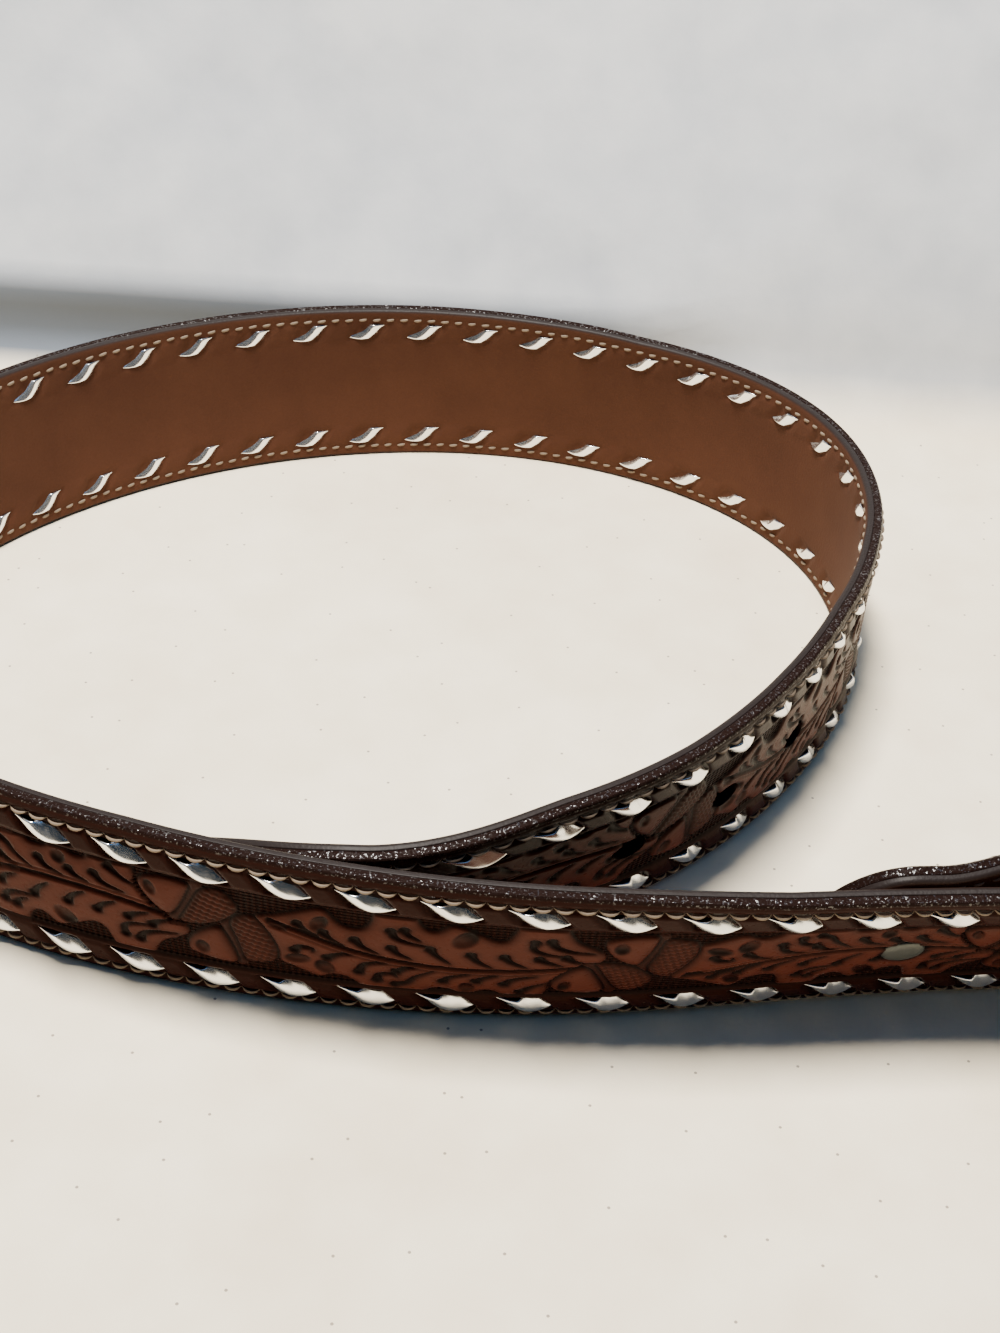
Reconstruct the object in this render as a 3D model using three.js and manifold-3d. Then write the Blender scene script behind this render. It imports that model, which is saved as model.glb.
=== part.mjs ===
import * as THREE from "three";
import { mergeVertices } from "three/addons/utils/BufferGeometryUtils.js";
import Module from "manifold-3d";

// A tooled western belt that stands on its edge in an open loop, in millimetres with +Z up.
// A place on the strap has three measures: s runs along it from the fold at the buckle to the tip, and is
// negative round the fold and along the flap. r runs up from the lower edge. a runs out from the middle
// of the thickness to the tooled face.

// Strap
const strapWidth = 44.4;
const beltLength = 905;
const outerPly = 2.2;
const liningPly = 1.4;
const plyGap = 0.3;
const edgeBevel = 0.6;
const tipTaper = 48;
const tipPower = 1.5;
const tipNose = 3;
const stationStep = 10;
const facetsAcross = 3;

// The way that the strap leaves the fold, where the loop starts
const foldHeading = 181.6;
const foldLean = 25.8;

// The loop, in courses of equal length from the fold to the tip. turn is how far the strap turns in the
// course, in degrees. The other columns hold at the course's end: lean is how far the top edge leans out
// of the loop and crown is how far the tooled face curls from edge to edge, in degrees. lift is the lower
// edge's height over the floor, as a share of its height at the buckle.
const courses = [
  { turn: 3.6, lean: 24.3, crown: -1.7, lift: 0.72 },
  { turn: 3.6, lean: 22.5, crown: 0.0, lift: 0.44 },
  { turn: 2.2, lean: 20.6, crown: 6.1, lift: 0.24 },
  { turn: -2.8, lean: 16.8, crown: 12.5, lift: 0.08 },
  { turn: -6.5, lean: 13.6, crown: 12.9, lift: 0 },
  { turn: -5.8, lean: 10.4, crown: 12.4, lift: 0 },
  { turn: -6.5, lean: 6.8, crown: 11.0, lift: 0 },
  { turn: -8.7, lean: 4.5, crown: 9.3, lift: 0 },
  { turn: -17.4, lean: 3.4, crown: 7.3, lift: 0 },
  { turn: -20.8, lean: 1.5, crown: 4.0, lift: 0 },
  { turn: -21.4, lean: 0.0, crown: 0.0, lift: 0 },
  { turn: -20.0, lean: 1.0, crown: 0.0, lift: 0 },
  { turn: -17.0, lean: 3.0, crown: 0.0, lift: 0 },
  { turn: -13.6, lean: 4.4, crown: 0.0, lift: 0 },
  { turn: -11.3, lean: 3.6, crown: 0.6, lift: 0 },
  { turn: -10.8, lean: 2.3, crown: 2.3, lift: 0 },
  { turn: -11.0, lean: 0.6, crown: 4.2, lift: 0 },
  { turn: -10.9, lean: -1.7, crown: 6.2, lift: 0 },
  { turn: -12.7, lean: -4.2, crown: 6.3, lift: 0 },
  { turn: -15.1, lean: -5.9, crown: 2.8, lift: 0 },
  { turn: -17.9, lean: -4.1, crown: -0.2, lift: 0 },
  { turn: -22.5, lean: -2.1, crown: -1.7, lift: 0 },
  { turn: -24.0, lean: -1.1, crown: -2.8, lift: 0 },
  { turn: -20.2, lean: 0.0, crown: -2.5, lift: 0 },
  { turn: -14.1, lean: 2.6, crown: -2.1, lift: 0 },
  { turn: -10.2, lean: 7.6, crown: -0.7, lift: 0 },
  { turn: -12.4, lean: 13.2, crown: 0.5, lift: 0 },
  { turn: -15.4, lean: 17.5, crown: 0.3, lift: 0 },
  { turn: -15.4, lean: 21.5, crown: 0.0, lift: 0 },
  { turn: -7.0, lean: 21.5, crown: 0.0, lift: 0 },
  { turn: -6.0, lean: 21.5, crown: 0.0, lift: 0 },
];

// Where the tip end leans on the back of the front strand, as shares of the belt's length
const restStart = 0.961;
const restBeside = 0.204;
const restEase = 0.062;
const restLean = 14;
const restClearance = 0.8;

// Flap that is folded back round the buckle's heel bar
const flapLength = 80;
const flapEndRound = 16;
const flapOpenUntil = 36;
const flapClosedFrom = 60;
const flapClearance = 0.3;
const foldFacets = 8;

// Lace, buckstitched along both edges
const laceInset = 6.2;
const lacePitch = 14.8;
const laceWidth = 4.8;
const lacePieceShare = 0.58;
const laceBackShare = 0.42;
const laceRise = 0.8;
const laceBackRise = 0.5;
const laceNeckWidth = 1.2;
const laceNeckRise = 0.3;
const laceSlant = 0.5;
const laceClearance = 0.5;
const upperLaceFirst = 55;
const lowerLaceFirst = 40;
const laceEndMargin = 6;

// Adjusting holes
const holeCount = 5;
const holeFromTip = 55.9;
const holeSpacing = 25.4;
const holeLength = 7.2;
const holeHeight = 5.8;
const holeDrop = 1.5;
const holeFacets = 10;

// Snap that closes the flap
const snapPlace = 62.6;
const snapRaise = 0.8;
const snapFlangeRadius = 4.4;
const snapFlangeRise = 0.6;
const snapCapRadius = 6.2;
const snapCapRise = 2.2;
const snapPostRadius = 1.9;
const snapHoleClearance = 0.4;
const snapSeatClearance = 0.55;
const snapFacets = 16;

// Outlines of the snap's cap and flange: shares of their radius and rise, from the outside in
const snapCap = [
  { across: 0, rise: 1 },
  { across: 0.6, rise: 0.85 },
  { across: 1, rise: 0.3 },
  { across: 1, rise: 0 },
];
const snapFlange = [
  { across: 1, rise: 0 },
  { across: 1, rise: 0.6 },
  { across: 0.6, rise: 1 },
  { across: 0, rise: 1 },
];

// Buckle
const buckleBar = 3;
const buckleSideClearance = 0.8;
const buckleFoldClearance = 0.9;
const buckleReach = 40;
const buckleCorner = 5;
const buckleFacets = 3;
const prongWidth = 3.6;
const prongThickness = 2;
const prongOverhang = 2.5;
const prongSlotClearance = 1;
const prongSlotReach = 12;

const radians = THREE.MathUtils.degToRad;
const beltThickness = outerPly + plyGap + liningPly;
const outerFace = beltThickness / 2;
const foldGap = buckleBar + 2 * buckleFoldClearance;
const foldRadius = (foldGap + beltThickness) / 2;
const foldLength = Math.PI * foldRadius;
const flapStart = -foldLength - flapLength;
const courseRun = beltLength / courses.length;

const wasm = await Module();
wasm.setup();

// The height that the buckle's lower bar needs below the strap, at the lean of the fold.
function buckleLift() {
  const lean = radians(foldLean);
  const below = (buckleSideClearance + buckleBar) * Math.cos(lean);
  const barSide = (buckleBar / 2) * Math.sin(lean);
  return below + barSide - (foldRadius + outerFace) * Math.sin(lean);
}

// The start of every course: its plan point, its heading in radians, and its lean, crown and lift.
function courseStarts() {
  const first = { x: 0, y: 0, heading: radians(foldHeading), lean: foldLean, crown: 0, lift: 1 };
  return courses.reduce((starts, course) => {
    const from = starts[starts.length - 1];
    starts.push({ ...onArc(from, course.turn, courseRun), ...course });
    return starts;
  }, [first]);
}

// The plan point and heading after a distance along an arc that turns by turn degrees in one course.
function onArc(from, turn, distance) {
  const half = (radians(turn) * distance) / courseRun / 2;
  const chord = half === 0 ? distance : (distance * Math.sin(half)) / half;
  return {
    x: from.x + chord * Math.cos(from.heading + half),
    y: from.y + chord * Math.sin(from.heading + half),
    heading: from.heading + 2 * half,
  };
}

const starts = courseStarts();
const liftAtFold = buckleLift();
const smooth = (t) => THREE.MathUtils.smoothstep(t, 0, 1);

// The strap's station at s on the run of the courses.
function courseStation(s) {
  const index = Math.min(courses.length - 1, Math.max(0, Math.floor(s / courseRun)));
  const along = s - index * courseRun;
  const share = along / courseRun;
  const from = starts[index];
  const to = starts[index + 1];
  const place = onArc(from, courses[index].turn, along);
  return {
    ...place,
    lean: radians(THREE.MathUtils.lerp(from.lean, to.lean, share)),
    crown: radians(THREE.MathUtils.lerp(from.crown, to.crown, share)),
    lift: liftAtFold * THREE.MathUtils.lerp(from.lift, to.lift, share),
  };
}

// The station of the tip end, which leans with its top edge on the back of the front strand.
function restingStation(s) {
  const beside = courseStation(beltLength * restBeside + s - beltLength * restStart);
  const lean = radians(restLean);
  const back = beltThickness + restClearance + strapWidth * Math.sin(lean);
  return {
    ...beside,
    x: beside.x + Math.sin(beside.heading) * back,
    y: beside.y - Math.cos(beside.heading) * back,
    lean: beside.lean + lean,
    crown: 0,
  };
}

// The station at s: on its courses, and eased onto the front strand near the tip.
function station(s) {
  const course = courseStation(s);
  const easeStart = beltLength * (restStart - restEase);
  if (s <= easeStart) return course;
  const resting = restingStation(s);
  const share = smooth((s - easeStart) / (beltLength * restEase));
  const mixed = { ...course };
  for (const key of ["x", "y", "lean", "crown", "lift"]) {
    mixed[key] = THREE.MathUtils.lerp(course[key], resting[key], share);
  }
  const turns = Math.round((course.heading - resting.heading) / (2 * Math.PI));
  mixed.heading = THREE.MathUtils.lerp(course.heading, resting.heading + 2 * Math.PI * turns, share);
  return mixed;
}

// The point at a and r on a station's section, whose lowest corner is at the station's lift.
function sectionPoint(at, a, r) {
  const foot = at.lean + at.crown / 2;
  const here = foot - (at.crown * r) / strapWidth;
  const middle = (foot + here) / 2;
  const out = r * Math.sin(middle) + a * Math.cos(here);
  const up = r * Math.cos(middle) - a * Math.sin(here);
  const seat = at.lift + outerFace * Math.abs(Math.sin(foot));
  return new THREE.Vector3(
    at.x - Math.sin(at.heading) * out,
    at.y + Math.cos(at.heading) * out,
    seat + up,
  );
}

// The three directions of a station at height r: along the strap, out of the tooled face and up.
function sectionAxes(at, r) {
  const lean = at.lean + at.crown * (1 / 2 - r / strapWidth);
  const along = new THREE.Vector3(Math.cos(at.heading), Math.sin(at.heading), 0);
  const level = new THREE.Vector3(-Math.sin(at.heading), Math.cos(at.heading), 0);
  const out = level.clone().multiplyScalar(Math.cos(lean)).setZ(-Math.sin(lean));
  const up = level.clone().multiplyScalar(Math.sin(lean)).setZ(Math.cos(lean));
  return { along, out, up };
}

// The distance between the middles of the flap and of the strand that it is folded back on.
function flapOffset(u) {
  const closing = smooth((u - flapOpenUntil) / (flapClosedFrom - flapOpenUntil));
  return beltThickness + THREE.MathUtils.lerp(foldGap, flapClearance, closing);
}

// The point at s, a and r anywhere on the strap: on the loop, round the fold or on the flap.
function strapPoint(s, a, r) {
  if (s >= 0) return sectionPoint(station(s), a, r);
  if (s < -foldLength) {
    const u = -s - foldLength;
    return sectionPoint(station(u), -flapOffset(u) - a, r);
  }
  const angle = (-s / foldLength) * Math.PI;
  const { along, out } = sectionAxes(station(0), r);
  return sectionPoint(station(0), -foldRadius, r)
    .addScaledVector(out, Math.cos(angle) * (foldRadius + a))
    .addScaledVector(along, -Math.sin(angle) * (foldRadius + a));
}

// Half of the strap's height at s, which narrows to the blunt point of the tip and to the flap's round end.
function halfHeight(s) {
  const tip = Math.min(1, Math.max(0, (s - beltLength + tipTaper) / tipTaper));
  const end = Math.min(1, Math.max(0, (flapStart + flapEndRound - s) / flapEndRound));
  const share = (1 - tip ** tipPower) * Math.sqrt(1 - end ** 2);
  return Math.max(tipNose, (strapWidth / 2) * share);
}

// Steps from one s to another, no longer than a given step.
function steps(from, to, step) {
  const count = Math.max(1, Math.ceil((to - from) / step));
  return Array.from({ length: count + 1 }, (_, i) => from + ((to - from) * i) / count);
}

// Steps that crowd towards a rounded end, where the outline turns fastest.
function endSteps(from, to, count) {
  const share = (i) => Math.sin((i / count) * (Math.PI / 2));
  return Array.from({ length: count + 1 }, (_, i) => from + (to - from) * share(i));
}

// A box of one segment per station, bent onto the strap by a function of station, height from -1 to 1 and
// depth from 0 to 1.
function bentBox(stations, across, deep, place) {
  const geometry = new THREE.BoxGeometry(1, 1, 1, stations.length - 1, across, deep);
  const position = geometry.getAttribute("position");
  for (let i = 0; i < position.count; i += 1) {
    const index = Math.round((position.getX(i) + 1 / 2) * (stations.length - 1));
    const point = place(stations[index], 2 * position.getY(i), position.getZ(i) + 1 / 2);
    position.setXYZ(i, point.x, point.y, point.z);
  }
  return facingOut(bare(geometry));
}

// Only the positions, with shared corners merged and the faces that this collapses left out.
function bare(geometry) {
  geometry.deleteAttribute("normal");
  geometry.deleteAttribute("uv");
  const merged = mergeVertices(geometry, 1e-3);
  const kept = [];
  for (let i = 0; i < merged.index.count; i += 3) {
    const face = [0, 1, 2].map((corner) => merged.index.getX(i + corner));
    if (new Set(face).size === 3) kept.push(...face);
  }
  return merged.setIndex(kept);
}

// The geometry with its faces turned round if they point inwards.
function facingOut(geometry) {
  const position = geometry.getAttribute("position");
  const index = geometry.index;
  const [p, q, t] = [new THREE.Vector3(), new THREE.Vector3(), new THREE.Vector3()];
  let volume = 0;
  for (let i = 0; i < index.count; i += 3) {
    p.fromBufferAttribute(position, index.getX(i));
    q.fromBufferAttribute(position, index.getX(i + 1));
    t.fromBufferAttribute(position, index.getX(i + 2));
    volume += p.dot(q.cross(t));
  }
  if (volume < 0) {
    for (let i = 0; i < index.count; i += 3) {
      const second = index.getX(i + 1);
      index.setX(i + 1, index.getX(i + 2));
      index.setX(i + 2, second);
    }
  }
  return geometry;
}

function toSolid(geometry) {
  const closed = geometry.index && !geometry.getAttribute("normal") ? geometry : bare(geometry);
  return new wasm.Manifold(
    new wasm.Mesh({
      numProp: 3,
      vertProperties: new Float32Array(closed.getAttribute("position").array),
      triVerts: new Uint32Array(closed.index.array),
    }),
  );
}

function toGeometry(solid) {
  const mesh = solid.getMesh();
  return new THREE.BufferGeometry()
    .setAttribute("position", new THREE.BufferAttribute(mesh.vertProperties, 3))
    .setIndex(new THREE.BufferAttribute(mesh.triVerts, 1));
}

// A frame at s and r on the strap: X along the strap, Y out of the tooled face and Z up.
function strapFrame(s, r) {
  const at = station(s);
  const { along, out, up } = sectionAxes(at, r);
  const turn = new THREE.Matrix4().makeBasis(along, out, up);
  return turn.setPosition(sectionPoint(at, 0, r));
}

// Tools that cut both plies: the adjusting holes, the snap's hole and the prong's slot.
function cutters() {
  const tools = [];
  for (let i = 0; i < holeCount; i += 1) {
    const hole = new THREE.CylinderGeometry(holeHeight / 2, holeHeight / 2, 2 * beltThickness, holeFacets);
    hole.scale(holeLength / holeHeight, 1, 1);
    const holePlace = beltLength - holeFromTip - i * holeSpacing;
    tools.push(hole.applyMatrix4(strapFrame(holePlace, strapWidth / 2 - holeDrop)));
  }
  const snapRadius = snapPostRadius + snapHoleClearance;
  const snapDepth = 4 * beltThickness;
  const snapHole = new THREE.CylinderGeometry(snapRadius, snapRadius, snapDepth, snapFacets);
  snapHole.translate(0, -beltThickness / 2, 0);
  tools.push(snapHole.applyMatrix4(strapFrame(snapPlace, strapWidth / 2 + snapRaise)));
  const slotLength = prongSlotReach + 2 * foldRadius + beltThickness;
  const slotDepth = 4 * foldRadius;
  const slot = new THREE.BoxGeometry(slotLength, slotDepth, prongWidth + 2 * prongSlotClearance);
  slot.translate(prongSlotReach - slotLength / 2, -foldRadius, 0);
  tools.push(slot.applyMatrix4(strapFrame(0, strapWidth / 2)));
  return tools.map(toSolid);
}

function strapStations() {
  return [
    ...endSteps(flapStart + flapEndRound, flapStart, 4).reverse(),
    ...steps(flapStart + flapEndRound, -foldLength, stationStep).slice(1),
    ...steps(-foldLength, 0, foldLength / foldFacets).slice(1),
    ...steps(0, beltLength - tipTaper, stationStep).slice(1),
    ...endSteps(beltLength - tipTaper, beltLength, 6).slice(1),
  ];
}

// One ply between its glued face and its bare face, whose edges are bevelled, cut by the tools.
function ply(bareFace, gluedFace, tools) {
  const bevelled = bareFace - Math.sign(bareFace - gluedFace) * edgeBevel;
  const blank = bentBox(strapStations(), facetsAcross, 2, (s, v, depth) => {
    const bevel = depth === 1 && Math.abs(v) === 1 ? edgeBevel : 0;
    const reach = halfHeight(s) - bevel;
    const face = [gluedFace, bevelled, bareFace][2 * depth];
    return strapPoint(s, face, strapWidth / 2 + v * reach);
  });
  return toGeometry(tools.reduce((solid, tool) => solid.subtract(tool), toSolid(blank)));
}

// The stations of one lace: a neck between the pieces, and a shoulder at each end of a piece.
function laceStations(first, pieceShare, from, to) {
  const list = [];
  const before = Math.floor((first - from) / lacePitch - 1 / 2);
  for (let centre = first - before * lacePitch; centre + lacePitch / 2 < to; centre += lacePitch) {
    list.push({ s: centre - lacePitch / 2, neck: true });
    list.push({ s: centre - (pieceShare * lacePitch) / 2, neck: false });
    list.push({ s: centre + (pieceShare * lacePitch) / 2, neck: false });
  }
  list.push({ s: list[list.length - 1].s + ((1 - pieceShare) * lacePitch) / 2, neck: true });
  return list;
}

// The lace's stretch on one face, side 1 on the tooled face and -1 on the lining, at height r.
function lace(r, side, first, from) {
  const front = side > 0;
  const phase = front ? first : first + lacePitch / 2;
  const share = front ? lacePieceShare : laceBackShare;
  const rise = front ? laceRise : laceBackRise;
  const list = laceStations(phase, share, from, beltLength - tipTaper - laceEndMargin);
  return bentBox(list, 1, 1, ({ s, neck }, v, depth) => {
    const half = (neck ? laceNeckWidth : laceWidth) / 2;
    const lean = neck ? 0 : laceSlant * half * v;
    const height = laceClearance + depth * (neck ? laceNeckRise : rise);
    return strapPoint(s + lean, side * (outerFace + height), r + half * v);
  });
}

// The snap, one turned piece: flange on the tooled face, post, and cap on the flap's tooled face.
function snapPiece() {
  const front = outerFace + snapSeatClearance;
  const back = -flapOffset(snapPlace) - outerFace - snapSeatClearance;
  const profile = [
    ...snapCap.map(({ across, rise }) => [snapCapRadius * across, back - snapCapRise * rise]),
    [snapPostRadius, back],
    [snapPostRadius, front],
    ...snapFlange.map(({ across, rise }) => [snapFlangeRadius * across, front + snapFlangeRise * rise]),
  ].map(([x, y]) => new THREE.Vector2(x, y));
  const turned = new THREE.LatheGeometry(profile, snapFacets);
  return facingOut(bare(turned).applyMatrix4(strapFrame(snapPlace, strapWidth / 2 + snapRaise)));
}

// A plate with rounded corners from x0 to x1 and to both sides of the middle, of a thickness.
function roundedPlate(x0, x1, tall, corner, thickness) {
  const outline = new THREE.Shape();
  outline.moveTo(x0, corner - tall);
  outline.lineTo(x0, tall - corner);
  outline.absarc(x0 + corner, tall - corner, corner, Math.PI, Math.PI / 2, true);
  outline.lineTo(x1 - corner, tall);
  outline.absarc(x1 - corner, tall - corner, corner, Math.PI / 2, 0, true);
  outline.lineTo(x1, corner - tall);
  outline.absarc(x1 - corner, corner - tall, corner, 0, -Math.PI / 2, true);
  outline.lineTo(x0 + corner, -tall);
  outline.absarc(x0 + corner, corner - tall, corner, -Math.PI / 2, -Math.PI, true);
  const options = { depth: thickness, bevelEnabled: false, curveSegments: buckleFacets };
  return new THREE.ExtrudeGeometry(outline, options).translate(0, 0, -thickness / 2);
}

// The buckle, one plain piece: a frame with its heel bar in the fold, and a prong that rests on the frame.
function bucklePiece() {
  const half = buckleBar / 2;
  const tall = strapWidth / 2 + buckleSideClearance;
  const cutDepth = 2 * buckleBar;
  const outer = roundedPlate(-half, buckleReach + half, tall + buckleBar, buckleCorner, buckleBar);
  const opening = roundedPlate(half, buckleReach - half, tall, buckleSideClearance, cutDepth);
  const frame = toSolid(outer).subtract(toSolid(opening));
  const rest = half + prongThickness;
  const side = new THREE.Shape();
  side.moveTo(-half, -half);
  side.lineTo(half, -half);
  side.lineTo(2 * buckleBar, half);
  side.lineTo(buckleReach + prongOverhang, half);
  side.lineTo(buckleReach + prongOverhang, rest);
  side.lineTo(buckleBar, rest);
  side.lineTo(-half, half);
  side.closePath();
  const prong = new THREE.ExtrudeGeometry(side, { depth: prongWidth, bevelEnabled: false });
  prong.translate(0, 0, -prongWidth / 2);
  prong.rotateX(Math.PI / 2);
  const whole = toGeometry(frame.add(toSolid(prong)));
  const { along, out, up } = sectionAxes(station(0), 0);
  const turn = new THREE.Matrix4().makeBasis(along.clone().negate(), up, out);
  const axis = sectionPoint(station(0), -foldRadius, strapWidth / 2);
  return facingOut(whole.applyMatrix4(turn.setPosition(axis)));
}

function named(name, geometry, color, roughness, metalness) {
  const material = new THREE.MeshStandardMaterial({ color, roughness, metalness });
  const mesh = new THREE.Mesh(geometry, material);
  mesh.name = name;
  return mesh;
}

const tooled = 0x6b3218;
const suede = 0x8a4f2a;
const silver = 0xd8dade;
const gunmetal = 0x24262a;
const nickel = 0xb9bbbe;

const belt = new THREE.Group();
const tools = cutters();
const upperRow = strapWidth - laceInset;
const backFrom = flapLength + laceEndMargin;
const frontFrom = laceEndMargin;
belt.add(named("outer_strap", ply(outerFace, outerFace - outerPly, tools), tooled, 0.55, 0));
belt.add(named("lining", ply(-outerFace, -outerFace + liningPly, tools), suede, 0.9, 0));
belt.add(named("upper_lace", lace(upperRow, 1, upperLaceFirst, frontFrom), silver, 0.2, 0.9));
belt.add(named("lower_lace", lace(laceInset, 1, lowerLaceFirst, frontFrom), silver, 0.2, 0.9));
belt.add(named("upper_lace_back", lace(upperRow, -1, upperLaceFirst, backFrom), silver, 0.2, 0.9));
belt.add(named("lower_lace_back", lace(laceInset, -1, lowerLaceFirst, backFrom), silver, 0.2, 0.9));
belt.add(named("snap", snapPiece(), gunmetal, 0.4, 0.8));
belt.add(named("buckle", bucklePiece(), nickel, 0.3, 0.9));

// The origin is under the middle of the belt's box, on the floor.
const box = new THREE.Box3().setFromObject(belt);
belt.position.set(-(box.min.x + box.max.x) / 2, -(box.min.y + box.max.y) / 2, -box.min.z);

export default belt;
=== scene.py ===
import math

import bmesh
import bpy
import numpy as np
from mathutils import Matrix, Vector


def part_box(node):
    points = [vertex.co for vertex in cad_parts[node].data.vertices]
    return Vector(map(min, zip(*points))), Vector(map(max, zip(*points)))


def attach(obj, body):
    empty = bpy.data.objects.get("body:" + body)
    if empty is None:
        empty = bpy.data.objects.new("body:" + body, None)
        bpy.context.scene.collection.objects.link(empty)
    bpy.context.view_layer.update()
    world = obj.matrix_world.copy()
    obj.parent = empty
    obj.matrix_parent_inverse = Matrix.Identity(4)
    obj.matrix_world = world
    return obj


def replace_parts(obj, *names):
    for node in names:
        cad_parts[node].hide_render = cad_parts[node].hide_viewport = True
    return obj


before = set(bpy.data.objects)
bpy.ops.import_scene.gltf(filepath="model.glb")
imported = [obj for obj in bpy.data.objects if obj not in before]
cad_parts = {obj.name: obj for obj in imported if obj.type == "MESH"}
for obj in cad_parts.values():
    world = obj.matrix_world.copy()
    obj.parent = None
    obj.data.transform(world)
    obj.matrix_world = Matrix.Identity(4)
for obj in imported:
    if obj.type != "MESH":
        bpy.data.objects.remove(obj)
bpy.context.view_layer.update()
random = np.random.default_rng(11)

# The strap's shape in millimetres. s runs along the strap from the fold to the tip and is negative round the
# fold and along the flap, r runs up from the lower edge, and a runs out from mid-thickness to the tooled face.
strap = {
    "width": 44.4, "length": 905.0, "face": 1.95, "glueFront": -0.28, "glueBack": -0.32,
    "tipTaper": 55.0, "tipPower": 1.5, "tipNose": 3.0, "flapLength": 80.0, "flapRound": 16.0, "flapOpen": 36.0,
    "flapClosed": 60.0, "flapGap": 0.3, "foldGap": 4.8, "heading": 181.6, "lean": 25.8, "lift": 1.332,
    "restStart": 0.961, "restBeside": 0.204, "restEase": 0.062, "restLean": 14.0, "restGap": 0.8,
    "sag": 1.0, "sagAbove": 30.0, "sagFrom": 30.0, "sagTo": 300.0, "sagEase": 60.0,
}
# turn, lean, crown and lift of every course of the loop
courses = np.array([
    [3.6, 24.3, -1.7, 0.72], [3.6, 22.5, 0.0, 0.44], [2.2, 20.6, 6.1, 0.24], [-2.8, 16.8, 12.5, 0.08],
    [-6.5, 13.6, 12.9, 0], [-5.8, 10.4, 12.4, 0], [-6.5, 6.8, 11.0, 0], [-8.7, 4.5, 9.3, 0],
    [-17.4, 3.4, 7.3, 0], [-20.8, 1.5, 4.0, 0], [-21.4, 0.0, 0.0, 0], [-20.0, 1.0, 0.0, 0],
    [-17.0, 3.0, 0.0, 0], [-13.6, 4.4, 0.0, 0], [-11.3, 3.6, 0.6, 0], [-10.8, 2.3, 2.3, 0],
    [-11.0, 0.6, 4.2, 0], [-10.9, -1.7, 6.2, 0], [-12.7, -4.2, 6.3, 0], [-15.1, -5.9, 2.8, 0],
    [-17.9, -4.1, -0.2, 0], [-22.5, -2.1, -1.7, 0], [-24.0, -1.1, -2.8, 0], [-20.2, 0.0, -2.5, 0],
    [-14.1, 2.6, -2.1, 0], [-10.2, 7.6, -0.7, 0], [-12.4, 13.2, 0.5, 0], [-15.4, 17.5, 0.3, 0],
    [-15.4, 21.5, 0.0, 0], [-7.0, 21.5, 0.0, 0], [-6.0, 21.5, 0.0, 0],
])
middle = strap["width"] / 2
face = strap["face"]
courseRun = strap["length"] / len(courses)
foldRadius = strap["foldGap"] / 2 + face
foldLength = math.pi * foldRadius
flapStart = -foldLength - strap["flapLength"]


def smooth(t):
    t = np.clip(t, 0, 1)
    return t * t * (3 - 2 * t)


def mix(p, q, share):
    return p + (q - p) * share


def courseStarts():
    rows = [[0, 0, math.radians(strap["heading"]), strap["lean"], 0, 1]]
    for turn, lean, crown, lift in courses:
        x, y, heading = rows[-1][:3]
        half = math.radians(turn) / 2
        chord = courseRun * np.sinc(half / math.pi)
        ahead = heading + half
        rows.append([x + chord * math.cos(ahead), y + chord * math.sin(ahead), ahead + half, lean, crown, lift])
    return np.array(rows)


starts = courseStarts()


def courseStation(s):
    index = np.clip(np.floor(s / courseRun).astype(int), 0, len(courses) - 1)
    share = s / courseRun - index
    half = np.radians(courses[index, 0]) * share / 2
    chord = courseRun * share * np.sinc(half / math.pi)
    x, y, heading = starts[index, :3].transpose(-1, *range(index.ndim))
    mixed = mix(starts[index, 3:], starts[index + 1, 3:], share[..., None])
    lean, crown, lift = mixed.transpose(-1, *range(index.ndim))
    return [
        x + chord * np.cos(heading + half), y + chord * np.sin(heading + half), heading + 2 * half,
        np.radians(lean), np.radians(crown), lift * strap["lift"],
    ]


def station(s):
    own = courseStation(s)
    length = strap["length"]
    beside = courseStation(length * strap["restBeside"] + s - length * strap["restStart"])
    lean = math.radians(strap["restLean"])
    back = 2 * face + strap["restGap"] + strap["width"] * math.sin(lean)
    beside[0] = beside[0] + np.sin(beside[2]) * back
    beside[1] = beside[1] - np.cos(beside[2]) * back
    beside[2] = beside[2] + 2 * math.pi * np.round((own[2] - beside[2]) / (2 * math.pi))
    beside[3] = beside[3] + lean
    beside[4] = np.zeros(s.shape)
    share = smooth((s - length * (strap["restStart"] - strap["restEase"])) / (length * strap["restEase"]))
    return [mix(p, q, share) for p, q in zip(own, beside)]


def strapPoint(s, a, r):
    s, a, r = np.broadcast_arrays(np.asarray(s, float), np.asarray(a, float), np.asarray(r, float))
    sagging = smooth((s - strap["sagFrom"]) / strap["sagEase"]) * smooth((strap["sagTo"] - s) / strap["sagEase"])
    r = r - strap["sag"] * smooth((r - strap["sagAbove"]) / 14) * sagging
    onFlap = s < -foldLength
    onFold = (s < 0) & ~onFlap
    u = -s - foldLength
    x, y, heading, lean, crown, lift = station(np.where(onFlap, u, np.maximum(s, 0)))
    closing = smooth((u - strap["flapOpen"]) / (strap["flapClosed"] - strap["flapOpen"]))
    offset = 2 * face + mix(strap["foldGap"], strap["flapGap"], closing)
    angle = -s / foldRadius
    depth = np.where(onFold, (foldRadius + a) * np.cos(angle) - foldRadius, np.where(onFlap, -offset - a, a))
    forward = np.where(onFold, -(foldRadius + a) * np.sin(angle), 0)
    foot = lean + crown / 2
    here = foot - crown * r / strap["width"]
    half = (foot + here) / 2
    out = r * np.sin(half) + depth * np.cos(here)
    up = r * np.cos(half) - depth * np.sin(here)
    seat = lift + face * np.abs(np.sin(foot))
    return np.stack([
        x + np.cos(heading) * forward - np.sin(heading) * out,
        y + np.sin(heading) * forward + np.cos(heading) * out,
        seat + up,
    ], -1)


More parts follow.
